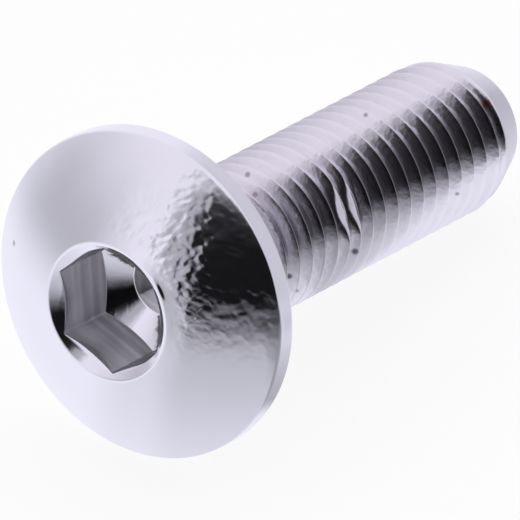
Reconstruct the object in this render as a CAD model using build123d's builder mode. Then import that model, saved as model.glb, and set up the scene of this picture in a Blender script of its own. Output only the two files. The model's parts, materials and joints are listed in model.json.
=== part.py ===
"""Button head screw, M6 x 20, with a 4 mm hexagon socket, in one piece.

The screw lies on a flat surface as it comes to rest: on the back edge of its head and on the last full
crest of its thread. +X runs from the head to the point and +Z is up. The origin is on the surface, under
the middle of the screw. The thread is plain here, at the diameter over its crests.
"""

import os
from math import asin, atan2, cos, hypot, radians, sin, sqrt, tan

from build123d import *

# Driving dimensions, in millimetres and degrees

THREAD_DIAMETER = 5.97  # over the crests
SHANK_LENGTH = 20.0  # from the bearing face to the end
NECK_FILLET = 0.25  # radius, between the shank and the bearing face
POINT_LENGTH = 1.9  # the taper that leads the thread into its hole
POINT_ANGLE = 45  # between the taper's opposite sides
POINT_EDGE = 0.25  # radius

HEAD_DIAMETER = 12.6
HEAD_HEIGHT = 2.93  # from the bearing face to the ring round the socket's mouth
RIM_HEIGHT = 0.8  # the upright wall between the bearing face and the dome
RIM_FRONT_EDGE = 0.2  # radius, between the rim and the dome
RIM_BACK_EDGE = 0.1  # radius, between the rim and the bearing face

SOCKET_ACROSS_FLATS = 4.2
SOCKET_TURN = 11.7  # from upright, anticlockwise when looking into the socket
SOCKET_REACH = 0.47  # from the bearing face on to the flat bottom
SOCKET_BOTTOM_DIAMETER = 2.4  # of that flat
SOCKET_BOTTOM_ANGLE = 120  # between the opposite slopes round it
COUNTERSINK_ANGLE = 110  # between its opposite sides
COUNTERSINK_WIDTH = 0.21  # from the hexagon's corners out to the mouth

# Sizes that follow

thread_radius = THREAD_DIAMETER / 2
point_radius = thread_radius - POINT_LENGTH * tan(radians(POINT_ANGLE / 2))
head_radius = HEAD_DIAMETER / 2
last_crest = SHANK_LENGTH - POINT_LENGTH

socket_corner_radius = SOCKET_ACROSS_FLATS / 2 / cos(radians(30))
socket_bottom_radius = SOCKET_BOTTOM_DIAMETER / 2
mouth_radius = socket_corner_radius + COUNTERSINK_WIDTH
countersink_depth = mouth_radius / tan(radians(COUNTERSINK_ANGLE / 2))
socket_slope_depth = (mouth_radius - socket_bottom_radius) / tan(radians(SOCKET_BOTTOM_ANGLE / 2))

# The dome is part of a ball centred on the screw's axis. It starts at the rim and ends at the mouth.
dome_rise = HEAD_HEIGHT - RIM_HEIGHT
dome_centre = (head_radius**2 - mouth_radius**2 - dome_rise**2) / (2 * dome_rise) - RIM_HEIGHT
dome_radius = hypot(head_radius, dome_centre + RIM_HEIGHT)
dome_middle = (head_radius + mouth_radius) / 2

# The screw leans until the rim's rounded back edge and the last full crest touch the surface.
contact_run = last_crest + RIM_BACK_EDGE
contact_drop = head_radius - RIM_BACK_EDGE - thread_radius
lean = atan2(contact_drop, contact_run) + asin(RIM_BACK_EDGE / hypot(contact_run, contact_drop))
axis_height = last_crest * sin(lean) + thread_radius * cos(lean)
reach_to_head = HEAD_HEIGHT * cos(lean) + mouth_radius * sin(lean)
reach_to_point = SHANK_LENGTH * cos(lean) + point_radius * sin(lean)

to_point = Vector(cos(lean), 0, -sin(lean))
bearing_centre = Vector((reach_to_head - reach_to_point) / 2, 0, axis_height)
screw_axis = Axis(bearing_centre, to_point)

# In this plane x is the distance from the bearing face towards the point, and y is the radius.
section_plane = Plane(origin=bearing_centre, x_dir=to_point, z_dir=(0, -1, 0))


def plane_across(station):
    """The plane across the screw at a distance from the bearing face, facing out of the head."""
    return Plane(origin=bearing_centre + to_point * station, x_dir=section_plane.y_dir, z_dir=-to_point)


def ring(part, radius, station):
    """The circular edges of a radius that lie at a distance from the bearing face."""
    middle = bearing_centre + to_point * station
    circles = part.edges().filter_by(GeomType.CIRCLE)
    return circles.filter_by(lambda e: abs(e.radius - radius) < 1e-3 and (e.arc_center - middle).length < 1e-3)


with BuildPart() as socket:
    # A hexagonal bar from the mouth to the bottom, turned down to a cone that is cut off flat
    with BuildSketch(plane_across(-HEAD_HEIGHT)):
        RegularPolygon(radius=socket_corner_radius, side_count=6, rotation=SOCKET_TURN)
    extrude(amount=-HEAD_HEIGHT - SOCKET_REACH)
    with BuildSketch(section_plane):
        with BuildLine():
            Polyline(
                (-HEAD_HEIGHT, 0),
                (-HEAD_HEIGHT, mouth_radius),
                (SOCKET_REACH - socket_slope_depth, mouth_radius),
                (SOCKET_REACH, socket_bottom_radius),
                (SOCKET_REACH, 0),
                close=True,
            )
        make_face()
    revolve(axis=screw_axis, mode=Mode.INTERSECT)

with BuildPart() as button_head_screw:
    # Head and shank, turned about the axis, with the countersink as a hollow in the dome
    with BuildSketch(section_plane):
        with BuildLine():
            Line((countersink_depth - HEAD_HEIGHT, 0), (-HEAD_HEIGHT, mouth_radius))
            ThreePointArc(
                (-HEAD_HEIGHT, mouth_radius),
                (dome_centre - sqrt(dome_radius**2 - dome_middle**2), dome_middle),
                (-RIM_HEIGHT, head_radius),
            )
            Polyline(
                (-RIM_HEIGHT, head_radius),
                (0, head_radius),
                (0, thread_radius),
                (last_crest, thread_radius),
                (SHANK_LENGTH, point_radius),
                (SHANK_LENGTH, 0),
                (countersink_depth - HEAD_HEIGHT, 0),
            )
        make_face()
    revolve(axis=screw_axis)

    # Rounded edges
    fillet(ring(button_head_screw, head_radius, -RIM_HEIGHT), RIM_FRONT_EDGE)
    fillet(ring(button_head_screw, head_radius, 0), RIM_BACK_EDGE)
    fillet(ring(button_head_screw, thread_radius, 0), NECK_FILLET)
    fillet(ring(button_head_screw, point_radius, SHANK_LENGTH), POINT_EDGE)

    add(socket.part, mode=Mode.SUBTRACT)

button_head_screw.part.label = "button_head_screw"

os.makedirs("parts", exist_ok=True)
export_step(button_head_screw.part, "parts/button_head_screw.step")
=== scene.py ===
"""The looks of a lying button head screw: its threaded, plated steel, the white table and the camera."""

import json
from math import cos, degrees, hypot, pi, radians, sin, sqrt, tan

import bpy
import numpy as np
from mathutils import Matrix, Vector


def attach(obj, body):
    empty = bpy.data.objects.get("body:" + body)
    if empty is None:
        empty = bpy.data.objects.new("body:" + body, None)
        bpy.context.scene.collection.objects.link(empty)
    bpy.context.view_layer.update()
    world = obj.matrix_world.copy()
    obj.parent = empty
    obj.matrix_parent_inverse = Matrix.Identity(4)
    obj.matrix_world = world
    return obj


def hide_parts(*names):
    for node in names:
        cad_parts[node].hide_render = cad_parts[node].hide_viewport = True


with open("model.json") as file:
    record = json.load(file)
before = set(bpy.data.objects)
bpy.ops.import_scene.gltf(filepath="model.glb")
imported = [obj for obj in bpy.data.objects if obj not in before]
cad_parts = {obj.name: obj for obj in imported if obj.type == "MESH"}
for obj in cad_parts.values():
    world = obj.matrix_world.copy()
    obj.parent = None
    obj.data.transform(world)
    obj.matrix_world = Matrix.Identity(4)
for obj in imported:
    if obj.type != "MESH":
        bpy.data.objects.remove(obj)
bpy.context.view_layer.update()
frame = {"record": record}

MM = 0.001

# The screw's dimensions, in millimetres and degrees. A station is a distance from the bearing face
# towards the point, so the head's stations are negative. A turn is an angle round the axis, from
# straight up.

THREAD_RADIUS = 2.985
SHANK_LENGTH = 20.0
NECK_FILLET = 0.25
POINT_LENGTH = 1.9
POINT_ANGLE = 45
POINT_EDGE = 0.25

HEAD_RADIUS = 6.3
HEAD_HEIGHT = 2.93
RIM_HEIGHT = 0.8
RIM_FRONT_EDGE = 0.2
RIM_BACK_EDGE = 0.1

SOCKET_FLAT_RADIUS = 2.1
SOCKET_CORNER_EDGE = 0.12
SOCKET_TURN = -11.7  # of a corner
SOCKET_LIP = 1.8  # radius of the walls' upper edge where the countersink is 1 mm wide, and less where narrow
COUNTERSINK_ANGLE = 110
MOUTH_RADIUS = 2.635
MOUTH_EDGE = 0.2
BOTTOM_STATION = 0.47
BOTTOM_RADIUS = 1.2
BOTTOM_EDGE = 0.16
BOTTOM_ANGLE = 120
WALL_FOOT_EDGE = 0.08
BURR_HEIGHT = 0.035  # a raised lump on one side of the mouth
BURR_TURN, BURR_WIDTH = 51, 13
BURR_RADIUS, BURR_REACH = 2.74, 0.15

PITCH = 0.803
FLANK_ANGLE = 49  # of the thread's sides at the crest, from the axis
FLANK_HOLLOW = 0.5  # how much steeper they get below it, in mm of depth a mm squared
CREST_FLAT = 0.014  # width
ROOT_FLAT = 0.16
FIRST_CREST = 0.655  # station of a crest, straight up
THREAD_START, THREAD_RUN_IN = 0.8, 2.2  # the grooves reach their full depth over the run-in
THREAD_END, THREAD_RUN_OUT = 18.4, 0.3
DRIFT = 0.2  # how far the first turns stand nearer to the point
DRIFT_START, DRIFT_END = 7.4, 9.7
DENT_DEPTH = 0.28  # two crests are knocked flat, and pushed a little towards the point
DENT_PUSH = 0.05
DENT_SLOPE = 12  # of the flats, down towards the head
DENT_STATION, DENT_LENGTH = 8.66, 1.0
DENT_TURN, DENT_WIDTH = 63, 27

last_crest = SHANK_LENGTH - POINT_LENGTH
point_slope = tan(radians(POINT_ANGLE / 2))
point_radius = THREAD_RADIUS - POINT_LENGTH * point_slope

# How finely the mesh follows those shapes

HEAD_COLUMNS = 336
CORNER_CROWDING = 6  # degrees that the head's columns move at most, towards the socket's corners
SHANK_COLUMNS = 160
ARC_STEPS = 4  # across each rounded edge
FLAT_KEEP = 0.01  # a narrow band beside each rounded edge, which keeps the shading next to it even
CENTRE_RING = 0.02  # radius of the innermost ring of the socket's bottom
BURR_RINGS = np.linspace(MOUTH_RADIUS + 0.11, 2.915, 6)  # radii
DOME_RINGS = np.linspace(3.0, HEAD_RADIUS, 29)
# The thread's rows from a crest to the middle between two, in pitches: closest together at the crest
HALF_PITCH_ROWS = (0.012, 0.03, 0.1, 0.25, 0.38, 0.4, 0.46)
THREAD_MESH_START = NECK_FILLET + 0.04
THREAD_MESH_END = THREAD_END + 0.05
NEAR_START, NEAR_END = 0.02, 0.01  # rows this near to the first or last ring of the thread fall on it
DRIFT_ROUNDS = 8
WALL_TOLERANCE = 0.015  # how far the middle of a face of the socket's walls may lie from the hexagon

# The screw's own axes: along it to the point, straight up from it, and the third one.
socket_mount = next(m for m in frame["record"]["mounts"] if m["name"] == "hex_socket")
to_point = -Vector(socket_mount["axis"]).normalized()
upward = (Vector((0, 0, 1)) - to_point * to_point.z).normalized()
sideways = to_point.cross(upward)
bearing_centre = Vector(socket_mount["pos_m"]) + to_point * HEAD_HEIGHT * MM


# --- The screw's shape ---


def smooth_step(x, low, high):
    t = np.clip((x - low) / (high - low), 0, 1)
    return t * t * (3 - 2 * t)


def hump(x, middle, reach):
    """1 in the middle, and 0 from a distance of reach"""
    t = np.clip(1 - np.abs(x - middle) / reach, 0, 1)
    return t * t * (3 - 2 * t)


def half_turned(angle):
    """The same angle in degrees, between -180 and 180"""
    return (angle + 180) % 360 - 180


def hexagon_radius(angles):
    """The socket's radius at angles in degrees from a corner, with its corners rounded"""
    from_corner = np.radians((angles + 30) % 60 - 30)
    flat = SOCKET_FLAT_RADIUS / np.cos(pi / 6 - np.abs(from_corner))
    centre = (SOCKET_FLAT_RADIUS - SOCKET_CORNER_EDGE) / cos(pi / 6)
    beside = np.abs(centre * np.sin(from_corner))
    arc = centre * np.cos(from_corner) + np.sqrt(np.maximum(SOCKET_CORNER_EDGE**2 - beside**2, 0))
    return np.where(beside < SOCKET_CORNER_EDGE * sin(pi / 6), arc, flat)


def dome_station(radius):
    """The dome is part of a ball that starts at the rim and ends at the mouth."""
    rise = HEAD_HEIGHT - RIM_HEIGHT
    centre = (HEAD_RADIUS**2 - MOUTH_RADIUS**2 - rise**2) / (2 * rise) - RIM_HEIGHT
    ball = hypot(HEAD_RADIUS, centre + RIM_HEIGHT)
    return centre - sqrt(ball**2 - radius**2)


def knocked(station, turn):
    """How much of the dents' full depth there is, from 0 to 1"""
    reach = hump(half_turned(turn - DENT_TURN), 0, DENT_WIDTH)
    return reach * smooth_step(DENT_LENGTH - np.abs(station - DENT_STATION), 0, DENT_LENGTH / 2)


def drift(station, turn):
    """How far the thread stands nearer to the point than an even one"""
    return DRIFT * (1 - smooth_step(station, DRIFT_START, DRIFT_END)) + DENT_PUSH * knocked(station, turn)


def thread_radius(station, turn):
    """The shank's radius with its thread"""
    phase = (station - drift(station, turn) - FIRST_CREST) / PITCH - turn / 360
    past_crest = (phase - np.round(phase)) * PITCH
    run = np.clip(np.abs(past_crest) - CREST_FLAT / 2, 0, (PITCH - CREST_FLAT - ROOT_FLAT) / 2)
    sunk = run * tan(radians(FLANK_ANGLE)) + FLANK_HOLLOW * run**2
    formed = smooth_step(station, THREAD_START, THREAD_START + THREAD_RUN_IN)
    formed = formed * (1 - smooth_step(station, THREAD_END - THREAD_RUN_OUT, THREAD_END))
    plain = np.minimum(THREAD_RADIUS, THREAD_RADIUS - (station - last_crest) * point_slope)
    radius = plain - sunk * formed
    depth = knocked(station, turn)
    flat = THREAD_RADIUS + past_crest * tan(radians(DENT_SLOPE)) - DENT_DEPTH * depth
    return np.where(depth > 0, np.minimum(radius, flat), radius)


# --- The screw's mesh ---


class Profile:
    """Rows of (station, radius) points, one for each column of the mesh, on lines from corner to corner"""

    def __init__(self, columns, station, radius):
        self.columns = columns
        self.corners = [self.row(station, radius)]
        self.edges = [0]

    def row(self, station, radius):
        """Each of the two is one number, or an array with a number for each column."""
        across = [np.broadcast_to(number, self.columns) for number in (station, radius)]
        return np.stack(across, axis=1).astype(float)

    def line_to(self, station, radius, shares=(), edge=0):
        """Adds a corner with the radius of its edge, and before it a row at each share of the line."""
        start, end = self.corners[-1], self.row(station, radius)
        self.corners += [start + (end - start) * share for share in shares] + [end]
        self.edges += [0] * len(shares) + [edge]

    def rows(self):
        """All rows in their order, with an arc in place of each corner that has an edge radius"""
        rows = []
        for k, (corner, edge) in enumerate(zip(self.corners, self.edges)):
            if np.all(edge == 0):
                rows.append(corner)
                continue
            back, ahead = self.corners[k - 1] - corner, self.corners[k + 1] - corner
            back /= np.linalg.norm(back, axis=1, keepdims=True)
            ahead /= np.linalg.norm(ahead, axis=1, keepdims=True)
            opening = np.arccos(np.clip((back * ahead).sum(1), -1, 1))[:, None]
            run = edge / np.tan(opening / 2)
            rows.append(corner + back * (run + FLAT_KEEP))
            for t in np.linspace(0, 1, ARC_STEPS + 1):
                rows.append(corner + back * run * (1 - t) ** 2 + ahead * run * t**2)
            rows.append(corner + ahead * (run + FLAT_KEEP))
        return rows


class Shell:
    """The points and faces of one mesh. Each point is (station, radius, turn)."""

    def __init__(self):
        self.points = []
        self.faces = []

    def add(self, station, radius, turn):
        self.points.append((station, radius, turn))
        return len(self.points) - 1

    def ring(self, stations, radii, turns):
        return [self.add(s, r, t) for s, r, t in zip(stations, radii, turns)]

    def face(self, *corners):
        kept = [c for k, c in enumerate(corners) if c != corners[k - 1]]
        if len(kept) > 2:
            self.faces.append(kept)

    def strip(self, ring, following):
        for k in range(len(ring)):
            self.face(ring[k - 1], ring[k], following[k], following[k - 1])


def head_rows(turns):
    """The head's rows from the middle of the socket's bottom to the neck"""
    wall = hexagon_radius(turns - SOCKET_TURN)
    countersink = MOUTH_RADIUS - wall
    foot_station = BOTTOM_STATION - (wall - BOTTOM_RADIUS) / tan(radians(BOTTOM_ANGLE / 2))
    lip_station = countersink / tan(radians(COUNTERSINK_ANGLE / 2)) - HEAD_HEIGHT
    burr = BURR_HEIGHT * hump(half_turned(turns - BURR_TURN), 0, BURR_WIDTH)

    profile = Profile(len(turns), BOTTOM_STATION, CENTRE_RING)
    profile.line_to(BOTTOM_STATION, BOTTOM_RADIUS, (0.3, 0.6, 0.8), BOTTOM_EDGE)
    profile.line_to(foot_station, wall, (0.2, 0.5, 0.8), WALL_FOOT_EDGE)
    profile.line_to(lip_station, wall, (0.1, 0.35, 0.65, 0.86), SOCKET_LIP * countersink[:, None] ** 2)
    profile.line_to(-HEAD_HEIGHT, MOUTH_RADIUS, (0.45,), MOUTH_EDGE)
    for radius in (*BURR_RINGS, *DOME_RINGS[:-1]):
        profile.line_to(dome_station(radius) - burr * hump(radius, BURR_RADIUS, BURR_REACH), radius)
    profile.line_to(-RIM_HEIGHT, HEAD_RADIUS, (), RIM_FRONT_EDGE)
    profile.line_to(0, HEAD_RADIUS, (0.4, 0.7), RIM_BACK_EDGE)
    profile.line_to(0, THREAD_RADIUS, (0.05, 0.3, 0.6, 0.85), NECK_FILLET)
    profile.line_to(NECK_FILLET, THREAD_RADIUS)
    return profile.rows()[:-1]


def add_head(shell, turns):
    """Adds the head and returns its last ring, round the neck."""
    rings = [shell.ring(row[:, 0], row[:, 1], turns) for row in head_rows(turns)]
    middle = shell.add(BOTTOM_STATION, 0, 0)
    for k in range(len(turns)):
        shell.face(middle, rings[0][k], rings[0][k - 1])
    for ring, following in zip(rings, rings[1:]):
        shell.strip(ring, following)
    return rings[-1]


def add_thread(shell, turns):
    """Adds the thread, on rows that wind with it. Returns its first ring and its last one."""
    start, end = THREAD_MESH_START, THREAD_MESH_END
    count = len(turns)
    first = shell.ring([start] * count, thread_radius(start, turns), turns)
    last = shell.ring([end] * count, thread_radius(end, turns), turns)

    shares = np.array([0, *HALF_PITCH_ROWS, *(1 - share for share in reversed(HALF_PITCH_ROWS))])
    # Enough pitches to reach past both rings; the rows beyond a ring fall on it.
    pitches = np.arange(-2, int((end - start) / PITCH + 4))
    even = FIRST_CREST + PITCH * (turns[:, None] / 360 + (pitches[:, None] + shares).ravel())
    stations = even
    # The drift depends on the station that it leads to, so it is found in a few rounds.
    for _ in range(DRIFT_ROUNDS):
        stations = even + drift(stations, turns[:, None])
    radii = thread_radius(stations, turns[:, None])
    made = {}

    def point(column, row):
        """The point's number. After a whole turn a row comes back one pitch further on."""
        wraps, column = divmod(column, count)
        row += wraps * len(shares)
        station = stations[column, row]
        if station <= start + NEAR_START:
            return first[column]
        if station >= end - NEAR_END:
            return last[column]
        if (column, row) not in made:
            made[column, row] = shell.add(station, radii[column, row], turns[column])
        return made[column, row]

    for column in range(count):
        for row in range(stations.shape[1] - len(shares) - 1):
            near = point(column, row), point(column + 1, row)
            shell.face(*near, point(column + 1, row + 1), point(column, row + 1))
    return first, last


def add_point(shell, ring, turns):
    """Adds the bare end of the taper and the flat end, after the thread's last ring."""
    count = len(turns)
    profile = Profile(1, THREAD_MESH_END, float(thread_radius(THREAD_MESH_END, 0)))
    profile.line_to(SHANK_LENGTH, point_radius, (0.1, 0.4, 0.7), POINT_EDGE)
    profile.line_to(SHANK_LENGTH, 0, (0.3, 0.6, 0.99))
    for row in profile.rows()[1:-1]:
        following = shell.ring([row[0, 0]] * count, [row[0, 1]] * count, turns)
        shell.strip(ring, following)
        ring = following
    middle = shell.add(SHANK_LENGTH, 0, 0)
    for k in range(count):
        shell.face(ring[k - 1], ring[k], middle)


def join(shell, neck, neck_turns, first, first_turns):
    """Fills the band between two rings of different counts, going round both together."""
    neck_count, first_count = len(neck), len(first)
    nearest = int(np.argmin(np.abs(half_turned(neck_turns - first_turns[0]))))
    order = [(nearest + k) % neck_count for k in range(neck_count)]
    neck_side = [neck[k] for k in order] + [neck[nearest]]
    neck_gone = [(neck_turns[k] - neck_turns[nearest]) % 360 for k in order] + [360]
    first_side = [*first, first[0]]
    first_gone = [*first_turns, 360]
    i = j = 0
    while i < neck_count or j < first_count:
        if j >= first_count or (i < neck_count and neck_gone[i + 1] <= first_gone[j + 1]):
            shell.face(neck_side[i], neck_side[i + 1], first_side[j])
            i += 1
        else:
            shell.face(neck_side[i], first_side[j + 1], first_side[j])
            j += 1


def screw_mesh():
    shell = Shell()
    even = np.arange(HEAD_COLUMNS) / HEAD_COLUMNS * 360
    head_turns = SOCKET_TURN + (even - CORNER_CROWDING * np.sin(np.radians(even * 6)))
    shank_turns = np.arange(SHANK_COLUMNS) / SHANK_COLUMNS * 360
    neck = add_head(shell, head_turns)
    first, last = add_thread(shell, shank_turns)
    add_point(shell, last, shank_turns)
    join(shell, neck, head_turns, first, shank_turns)

    station, radius, turn = np.array(shell.points).T
    turn = np.radians(turn)
    offsets = np.stack([station, radius * np.cos(turn), radius * np.sin(turn)], axis=1)
    places = np.array(bearing_centre) + offsets @ np.array([to_point, upward, sideways]) * MM

    mesh = bpy.data.meshes.new("screw")
    mesh.from_pydata(places.tolist(), [], shell.faces)
    mesh.validate()
    mesh.shade_smooth()
    return mesh


def wall_faces(mesh):
    """1 for each face of the socket's walls, 0 for the others"""
    centres = np.empty(len(mesh.polygons) * 3)
    mesh.polygons.foreach_get("center", centres)
    offsets = (centres.reshape(-1, 3) - np.array(bearing_centre)) / MM
    station, up, side = (offsets @ np.array(axis) for axis in (to_point, upward, sideways))
    hexagon = hexagon_radius(np.degrees(np.arctan2(side, up)) - SOCKET_TURN)
    on_hexagon = np.abs(np.sqrt(up**2 + side**2) - hexagon) < WALL_TOLERANCE
    return (on_hexagon & (station < BOTTOM_STATION)).astype(int)


# --- Node helpers ---


class Nodes:
    """Builds a node tree from short expressions."""

    def __init__(self, tree):
        self.tree = tree
        tree.nodes.clear()

    def new(self, kind, **settings):
        node = self.tree.nodes.new(kind)
        for name, value in settings.items():
            setattr(node, name, value)
        return node

    def put(self, socket, value):
        if isinstance(value, bpy.types.NodeSocket):
            self.tree.links.new(value, socket)
        else:
            socket.default_value = value

    def math(self, operation, *values):
        node = self.new("ShaderNodeMath", operation=operation)
        for socket, value in zip(node.inputs, values):
            self.put(socket, value)
        return node.outputs[0]

    def add(self, first, *others):
        for other in others:
            first = self.math("ADD", first, other)
        return first

    def times(self, first, *others):
        for other in others:
            first = self.math("MULTIPLY", first, other)
        return first

    def one_minus(self, value):
        return self.math("SUBTRACT", 1.0, value)

    def length(self, first, second):
        """The distance from the origin of a point at these two coordinates"""
        return self.math("SQRT", self.add(self.times(first, first), self.times(second, second)))

    def vector(self, *values):
        node = self.new("ShaderNodeCombineXYZ")
        for socket, value in zip(node.inputs, values):
            self.put(socket, value)
        return node.outputs[0]

    def dot(self, vector, direction):
        node = self.new("ShaderNodeVectorMath", operation="DOT_PRODUCT")
        self.put(node.inputs[0], vector)
        node.inputs[1].default_value = direction
        return node.outputs["Value"]

    def step(self, value, low, high, out_low=0.0, out_high=1.0):
        node = self.new("ShaderNodeMapRange", interpolation_type="SMOOTHSTEP")
        for socket, x in zip(node.inputs, (value, low, high, out_low, out_high)):
            self.put(socket, x)
        return node.outputs[0]

    def band(self, value, low, low_full, high_full, high):
        """1 between the two full values, 0 below low and above high"""
        return self.times(self.step(value, low, low_full), self.step(value, high, high_full))

    def mix(self, factor, first, second):
        """first where factor is 0, second where it is 1"""
        return self.add(self.times(self.one_minus(factor), first), self.times(factor, second))

    def mix_colours(self, factor, first, second):
        node = self.new("ShaderNodeMix", data_type="RGBA")
        for name, value in (("Factor", factor), ("A", first), ("B", second)):
            self.put(node.inputs[name], value)
        return node.outputs["Result"]

    def noise(self, vector, scale, detail, roughness, distortion=0.0):
        node = self.new("ShaderNodeTexNoise")
        self.put(node.inputs["Vector"], vector)
        node.inputs["Scale"].default_value = scale
        node.inputs["Detail"].default_value = detail
        node.inputs["Roughness"].default_value = roughness
        node.inputs["Distortion"].default_value = distortion
        return node.outputs["Fac"]

    def bump(self, height, distance):
        node = self.new("ShaderNodeBump")
        node.inputs["Strength"].default_value = 1.0
        node.inputs["Distance"].default_value = distance
        self.put(node.inputs["Height"], height)
        return node.outputs[0]

    def metal(self, colour, metallic, roughness, normal):
        node = self.new("ShaderNodeBsdfPrincipled")
        self.put(node.inputs["Base Color"], colour)
        self.put(node.inputs["Metallic"], metallic)
        self.put(node.inputs["Roughness"], roughness)
        self.put(node.inputs["Normal"], normal)
        return node.outputs[0]


def new_material(name):
    material = bpy.data.materials.new(name)
    material.use_nodes = True
    return material, Nodes(material.node_tree)


def finish_material(nodes, surface):
    output = nodes.new("ShaderNodeOutputMaterial")
    nodes.put(output.inputs[0], surface)


def screw_places(nodes):
    """The shaded point, its station and radius in mm, and its direction from the axis as two numbers"""
    place = nodes.new("ShaderNodeTexCoord").outputs["Object"]
    away = nodes.new("ShaderNodeVectorMath", operation="SUBTRACT")
    nodes.put(away.inputs[0], place)
    away.inputs[1].default_value = bearing_centre
    station = nodes.math("DIVIDE", nodes.dot(away.outputs[0], to_point), MM)
    up = nodes.math("DIVIDE", nodes.dot(away.outputs[0], upward), MM)
    side = nodes.math("DIVIDE", nodes.dot(away.outputs[0], sideways), MM)
    radius = nodes.length(up, side)
    return place, station, radius, nodes.math("DIVIDE", up, radius), nodes.math("DIVIDE", side, radius)


# --- Plating ---

HEAD_COLOUR = (0.905, 0.89, 0.96, 1)
SHANK_COLOUR = (0.84, 0.8, 0.87, 1)
DIRT = (0.44, 0.38, 0.42, 1)
DARK_DIRT = (0.2, 0.16, 0.2, 1)
RUST = (0.6, 0.2, 0.14, 1)

# Each spot's place as station, radius and turn, then its own radius and its colour
SPOTS = (
    (5.48, 2.76, -1.3, 0.16, DIRT),
    (4.69, 2.71, 19.0, 0.16, DIRT),
    (12.61, 2.88, 2.9, 0.13, DIRT),
    (8.85, 2.86, 99.5, 0.20, DARK_DIRT),
    (4.84, 2.69, 93.4, 0.17, DARK_DIRT),
    (5.72, 2.74, 114.4, 0.14, DIRT),
    (15.23, 2.88, 94.9, 0.12, DIRT),
    (18.17, 2.70, 40.3, 0.26, RUST),
    (-1.72, 5.16, -84.8, 0.16, DIRT),
)
SPOT_CORE = 0.25  # the part of a spot's radius that has its full colour

# The dome's flow marks run outwards at a slight slant, on one side of it.
FLOW_ROUND, FLOW_OUT = 10.5, 2.6  # how many there are in a radian round the axis, and in a mm outwards
FLOW_SLANT = 0.045  # radians a mm outwards
FLOW_UP, FLOW_SIDEWAYS = 0.6, 0.8  # the direction in which the middle of their side lies

# Noises over the whole screw: their scale to the metre, detail and roughness
WAVES = (450, 1.0, 0.4)
GRAIN = (4200, 1.0, 0.5)
CHATTER = (2600, 2.0, 0.5)
STAINS = (1700, 3.0, 0.6)

RELIEF = 0.00002  # the height in metres of a flow mark or a wave
GRAIN_HEIGHT, SHANK_GRAIN_HEIGHT, CHATTER_HEIGHT = 0.1, 0.3, 0.2  # parts of it
GROOVE_TOP, GROOVE_DEEP = 0.04, 0.16  # depths under the crests, between which a groove gets duller
CLEAN_SHANK = 0.7  # how much of the shank's colour there is outside the stains
DUST, GROOVE_DUST = 0.021, 0.02  # what they take from full metallic
ROUGHNESS = 0.09
GROOVE_DULLNESS, NECK_DULLNESS, BEARING_DULLNESS = 0.1, 0.11, 0.4  # added to it


def spotted(nodes, place, colour):
    """The colour with a few small dark spots, and a rusty one near the point"""
    for station, radius, turn, size, shade in SPOTS:
        spoke = upward * cos(radians(turn)) + sideways * sin(radians(turn))
        apart = nodes.new("ShaderNodeVectorMath", operation="DISTANCE")
        nodes.put(apart.inputs[0], place)
        apart.inputs[1].default_value = bearing_centre + (to_point * station + spoke * radius) * MM
        inside = nodes.step(apart.outputs["Value"], size * MM, size * MM * SPOT_CORE)
        colour = nodes.mix_colours(inside, colour, shade)
    return colour


def flow_marks(nodes, station, radius, up, side):
    """The height of the dome's flow marks, which start outside the mouth and end before the rim"""
    slant = nodes.times(radius, FLOW_SLANT)
    round_up = nodes.times(nodes.add(up, slant), FLOW_ROUND)
    round_side = nodes.times(nodes.math("SUBTRACT", side, slant), FLOW_ROUND)
    flow = nodes.vector(round_up, round_side, nodes.times(radius, FLOW_OUT))
    marks = nodes.noise(flow, 1.0, 1.0, 0.45, 0.2)
    stronger_upward = nodes.step(up, -0.3, 0.4, 0.85, 2.0)
    marked_side = nodes.add(nodes.times(up, FLOW_UP), nodes.times(side, FLOW_SIDEWAYS))
    marked = nodes.times(nodes.step(radius, 2.9, 3.5), nodes.step(marked_side, 0.35, 0.95, 0.03, 1.0))
    marked = nodes.times(marked, nodes.step(station, -0.5, -1.1))
    return nodes.times(marked, nodes.times(marks, stronger_upward))


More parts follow.
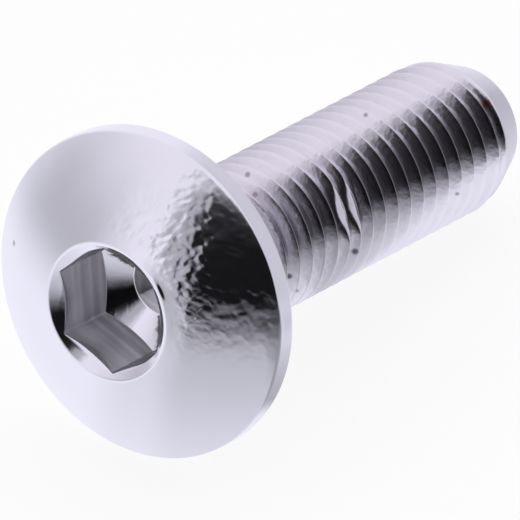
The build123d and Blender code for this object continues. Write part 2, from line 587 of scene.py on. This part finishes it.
def plating():
    """Bright plating with slight waves and fine grain, duller on the shank and mostly in its grooves"""
    material, nodes = new_material("plating")
    place, station, radius, up, side = screw_places(nodes)

    # Where things lie, from 0 to 1. The socket's bottom is as far along as the shank's start.
    outside = nodes.math("MAXIMUM", nodes.step(radius, 2.3, 2.45), nodes.step(station, 1, 2))
    on_shank = nodes.times(nodes.step(station, 0.1, 0.5), outside)
    near_head = nodes.times(on_shank, nodes.step(station, 7.8, 4.3))
    groove = nodes.step(radius, THREAD_RADIUS - GROOVE_TOP, THREAD_RADIUS - GROOVE_DEEP)
    groove = nodes.times(on_shank, groove, nodes.step(station, last_crest + 0.3, last_crest))
    in_socket = nodes.times(nodes.step(radius, 2.45, 2.35), nodes.step(station, -2.2, -1.9))
    in_socket = nodes.times(in_socket, nodes.step(station, 0.9, 0.7))
    bearing_face = nodes.times(nodes.step(station, -0.08, -0.02), nodes.step(radius, 3.1, 3.4))

    grain_height = nodes.add(nodes.times(on_shank, SHANK_GRAIN_HEIGHT), GRAIN_HEIGHT)
    grain = nodes.times(nodes.noise(place, *GRAIN), grain_height)
    chatter = nodes.times(in_socket, nodes.noise(place, *CHATTER), CHATTER_HEIGHT)
    marks = flow_marks(nodes, station, radius, up, side)
    height = nodes.add(marks, nodes.noise(place, *WAVES), grain, chatter)

    stains = nodes.step(nodes.noise(place, *STAINS), 0.42, 0.66)
    stained = nodes.mix(nodes.times(groove, stains), CLEAN_SHANK, 1.0)
    colour = nodes.mix_colours(nodes.times(on_shank, stained), HEAD_COLOUR, SHANK_COLOUR)
    colour = spotted(nodes, place, colour)

    # A faint film of dust lies everywhere but in the socket.
    film = nodes.add(nodes.times(groove, GROOVE_DUST), nodes.mix(in_socket, DUST, 0.0))
    dull = nodes.add(nodes.times(groove, GROOVE_DULLNESS), nodes.times(near_head, NECK_DULLNESS))
    dull = nodes.add(dull, nodes.times(bearing_face, BEARING_DULLNESS), ROUGHNESS)
    finish_material(nodes, nodes.metal(colour, nodes.one_minus(film), dull, nodes.bump(height, RELIEF)))
    return material


# --- The socket's walls ---

WALL_COLOUR = (0.66, 0.655, 0.655, 1)
BANDS_AND_PAINTED_LIGHT_COLOUR = (0.9, 0.9, 0.89, 1)
WALL_ROUGHNESS = 0.42
WALL_RELIEF = 0.00004  # metres
WALL_GRAIN = 0.15  # a part of it
BANDS_DEEP, BANDS_ROUND = 2.4, 0.5  # how many there are in a mm of depth, and in a radian round the axis
BANDS_SHARE = 0.3  # of their shade in the colour; the rest is the rings'
# Rings of painted light at three depths, a broad lighter band near the mouth and two thin painted
# highlights: the stations where each starts, is full and ends
WIDE_PAINTED_LIGHT = (-2.4, -2.0, -1.8, -1.4)
WIDE_PAINTED_LIGHT_STRENGTH = 0.45
THIN_PAINTED_HIGHLIGHTS = (-1.15, -1.0, -0.94, -0.78), (-0.6, -0.38, -0.3, -0.15)


def punched():
    """The socket's walls, matt from the punch, with faint bands at even depths, and rings of painted light
    and painted highlights at three depths
    """
    material, nodes = new_material("socket_wall")
    place, station, _, up, side = screw_places(nodes)
    down = nodes.times(station, BANDS_DEEP)
    bands = nodes.vector(down, nodes.times(up, BANDS_ROUND), nodes.times(side, BANDS_ROUND))
    bands = nodes.noise(bands, 1.0, 1.0, 0.5)
    grain = nodes.noise(place, 4000, 2.0, 0.5)
    height = nodes.add(bands, nodes.times(grain, WALL_GRAIN))

    wide = nodes.times(nodes.band(station, *WIDE_PAINTED_LIGHT), WIDE_PAINTED_LIGHT_STRENGTH)
    thin = nodes.add(*(nodes.band(station, *ring) for ring in THIN_PAINTED_HIGHLIGHTS))
    # The paler colour comes partly from the bands, and mostly from the rings of painted light and painted
    # highlights
    bands_and_painted_light = nodes.mix(BANDS_SHARE, nodes.add(wide, thin), nodes.step(bands, 0.35, 0.65))
    colour = nodes.mix_colours(bands_and_painted_light, WALL_COLOUR, BANDS_AND_PAINTED_LIGHT_COLOUR)
    finish_material(nodes, nodes.metal(colour, 1, WALL_ROUGHNESS, nodes.bump(height, WALL_RELIEF)))
    return material


screw = bpy.data.objects.new("screw", screw_mesh())
bpy.context.scene.collection.objects.link(screw)
screw.data.materials.append(plating())
screw.data.materials.append(punched())
screw.data.polygons.foreach_set("material_index", wall_faces(screw.data))
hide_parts("button_head_screw")
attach(screw, "root")


# --- Camera ---

VIEW_AZIMUTH = -53.56
VIEW_ELEVATION = 34.90
PIXELS_PER_MM = 27.40
LENS = 1640
SENSOR = 36
PICTURE = 520  # pixels
AIM_RIGHT, AIM_UP = 3.901, 1.020  # the picture's middle, in mm from the middle of the bearing face

azimuth, elevation = radians(VIEW_AZIMUTH), radians(VIEW_ELEVATION)
towards_camera = Vector((sin(azimuth) * cos(elevation), -cos(azimuth) * cos(elevation), sin(elevation)))
picture_right = Vector((cos(azimuth), sin(azimuth), 0))
picture_up = towards_camera.cross(picture_right)
aim = bearing_centre + (picture_right * AIM_RIGHT + picture_up * AIM_UP) * MM
distance = LENS / SENSOR * PICTURE / PIXELS_PER_MM * MM

camera = bpy.data.objects.new("camera", bpy.data.cameras.new("camera"))
bpy.context.scene.collection.objects.link(camera)
camera.data.sensor_width = SENSOR
camera.data.lens = LENS
camera.data.clip_start, camera.data.clip_end = 0.1, 3
camera.location = aim + towards_camera * distance
camera.rotation_mode = "QUATERNION"
camera.rotation_quaternion = towards_camera.to_track_quat("Z", "Y")
bpy.context.scene.camera = camera


# --- Table and light ---

# The screw mirrors a studio. A heading is an angle in degrees round the upright, from the side where the
# photo's camera stood towards the picture's right. The sides are full between their two middle headings.
FRONT = (sin(azimuth), -cos(azimuth), 0)
RIGHT = (cos(azimuth), sin(azimuth), 0)
GREY_SIDE = (-150, -105, -85, -50)
FAR_SIDE = (60, 95, 148, 172)
DARK_LEFT = (-52, -37), (-34, -23)  # it gets half dark at the first two headings, and dark at the others
DARK_RIGHT = (90, 50)
WALLS, GREY_WALL, FAR_WALL = 0.96, 0.56, 0.68  # brightness near the horizon
WALLS_ABOVE = 0.9
WORLD_TINT = (0.935, 0.915, 1.0, 1)
TABLE_TINT = (0.92, 0.925, 1.0, 1)
WHITE = (1, 1, 1, 1)

EYE_HEIGHT = 0.008  # from which the screw sees the table, in metres
TABLE_HALF = 1.5
TABLE_GLOW, TABLE_PAPER = 0.86, 0.2  # what the camera sees: a glow, and paper that takes shadows
# In front of the shank the table's glow carries a painted shadow of the shank
BESIDE = 0.6  # how bright the table in front of the shank is, far out, compared with the rest of its front
SHADOW = 0.85  # brightness in the screw's faint shadow, as mirrored


def heading_of(nodes, vector):
    """The vector's heading, and its length as seen from above"""
    ahead, across = nodes.dot(vector, FRONT), nodes.dot(vector, RIGHT)
    return nodes.times(nodes.math("ARCTAN2", across, ahead), degrees(1)), nodes.length(ahead, across)


def dark_side(nodes, heading):
    """The room behind the camera, with a half-dark strip at its left"""
    left = nodes.add(*(nodes.step(heading, *headings, 0, 0.5) for headings in DARK_LEFT))
    return nodes.times(left, nodes.step(heading, *DARK_RIGHT))


def mirrored_table(nodes, place):
    """The table's brightness where the screw mirrors it, with painted shade and painted shadows"""
    heading, distance_out = heading_of(nodes, place)
    forward, across = nodes.dot(place, (1, 0, 0)), nodes.dot(place, (0, 1, 0))
    # How far down the table is seen from the screw, in degrees
    drop = nodes.times(nodes.math("ARCTAN2", EYE_HEIGHT, distance_out), degrees(1))

    # On the dark room's side it is darker further out, a painted shade. In front of the shank a painted
    # shadow of the shank darkens it towards the head.
    front = nodes.add(nodes.step(drop, 0, 21, 0.11, 0.61), nodes.step(drop, 18, 50, 0, 0.38))
    along = nodes.step(forward, -0.011, 0.005, 0.35, 0.95)
    beside = nodes.mix(nodes.step(drop, 20, 34), nodes.times(front, BESIDE), along)
    front = nodes.mix(nodes.step(heading, 0, 12), front, beside)

    # On the other sides it is as bright as the wall far out, and white close by.
    shaded = nodes.step(drop, 0, 20, WALLS, 1.0)
    grey = nodes.step(drop, 0, 24, GREY_WALL, 1.0)
    shaded = nodes.mix(nodes.band(heading, *GREY_SIDE), shaded, grey)
    far = nodes.step(drop, 12, 38, FAR_WALL, 1.0)
    shaded = nodes.mix(nodes.band(heading, *FAR_SIDE), shaded, far)
    shaded = nodes.mix(dark_side(nodes, heading), shaded, front)

    # The shadow lies past the point.
    shadow = nodes.step(nodes.math("ABSOLUTE", across), 0.0015, 0.008, 1, 0)
    shadow = nodes.times(shadow, nodes.step(forward, 0.006, 0.012))
    return nodes.times(shaded, nodes.mix(shadow, 1.0, SHADOW))


def white_paper():
    """What the screw mirrors is a glow of its own; what the camera sees also takes the screw's shadow."""
    material, nodes = new_material("white_paper")
    path = nodes.new("ShaderNodeLightPath").outputs
    mirrored = nodes.math("MAXIMUM", path["Is Glossy Ray"], path["Is Transmission Ray"])
    brightness = mirrored_table(nodes, nodes.new("ShaderNodeTexCoord").outputs["Object"])
    seen = nodes.times(path["Is Camera Ray"], TABLE_GLOW)
    glow = nodes.new("ShaderNodeEmission")
    nodes.put(glow.inputs["Color"], nodes.mix_colours(mirrored, WHITE, TABLE_TINT))
    nodes.put(glow.inputs["Strength"], nodes.add(seen, nodes.times(mirrored, brightness)))

    grey = nodes.new("ShaderNodeCombineColor")
    shade = nodes.times(nodes.one_minus(mirrored), TABLE_PAPER)
    for socket in grey.inputs:
        nodes.put(socket, shade)
    paper = nodes.new("ShaderNodeBsdfDiffuse")
    nodes.put(paper.inputs["Color"], grey.outputs[0])
    both = nodes.new("ShaderNodeAddShader")
    nodes.put(both.inputs[0], glow.outputs[0])
    nodes.put(both.inputs[1], paper.outputs[0])
    finish_material(nodes, both.outputs[0])
    return material


def add_table():
    corners = [(x * TABLE_HALF, y * TABLE_HALF, 0) for x, y in ((-1, -1), (1, -1), (1, 1), (-1, 1))]
    mesh = bpy.data.meshes.new("table")
    mesh.from_pydata(corners, [], [(0, 1, 2, 3)])
    mesh.materials.append(white_paper())
    floor = bpy.data.objects.new("table", mesh)
    bpy.context.scene.collection.objects.link(floor)


def add_studio():
    """White walls, with the dark room behind the camera, a grey side, and a paler grey one at the right"""
    world = bpy.data.worlds.new("studio")
    world.use_nodes = True
    bpy.context.scene.world = world
    nodes = Nodes(world.node_tree)
    direction = nodes.new("ShaderNodeTexCoord").outputs["Generated"]
    heading, _ = heading_of(nodes, direction)
    rise = nodes.times(nodes.math("ARCSINE", nodes.dot(direction, (0, 0, 1))), degrees(1))

    grey = nodes.step(nodes.math("ABSOLUTE", nodes.math("SUBTRACT", rise, 3)), 55, 0)
    grey = nodes.times(grey, nodes.band(heading, *GREY_SIDE))
    far = nodes.times(nodes.step(rise, 52, 24), nodes.band(heading, *FAR_SIDE))
    walls = nodes.mix(grey, nodes.step(rise, 0, 60, WALLS, WALLS_ABOVE), GREY_WALL)
    walls = nodes.mix(far, walls, FAR_WALL)
    above = nodes.math("POWER", nodes.step(rise, 38, 75), 2)
    dark = nodes.times(dark_side(nodes, heading), nodes.one_minus(above))
    room = nodes.add(nodes.step(rise, -2, 8, 0.1, 0.003), nodes.step(rise, 28, 45, 0, 0.015))
    seen = nodes.new("ShaderNodeLightPath").outputs["Is Camera Ray"]

    background = nodes.new("ShaderNodeBackground")
    nodes.put(background.inputs["Color"], nodes.mix_colours(seen, WORLD_TINT, WHITE))
    nodes.put(background.inputs["Strength"], nodes.mix(seen, nodes.mix(dark, walls, room), 1.0))
    output = nodes.new("ShaderNodeOutputWorld")
    nodes.put(output.inputs[0], background.outputs[0])


add_table()
add_studio()
bpy.context.scene.view_settings.view_transform = "Standard"
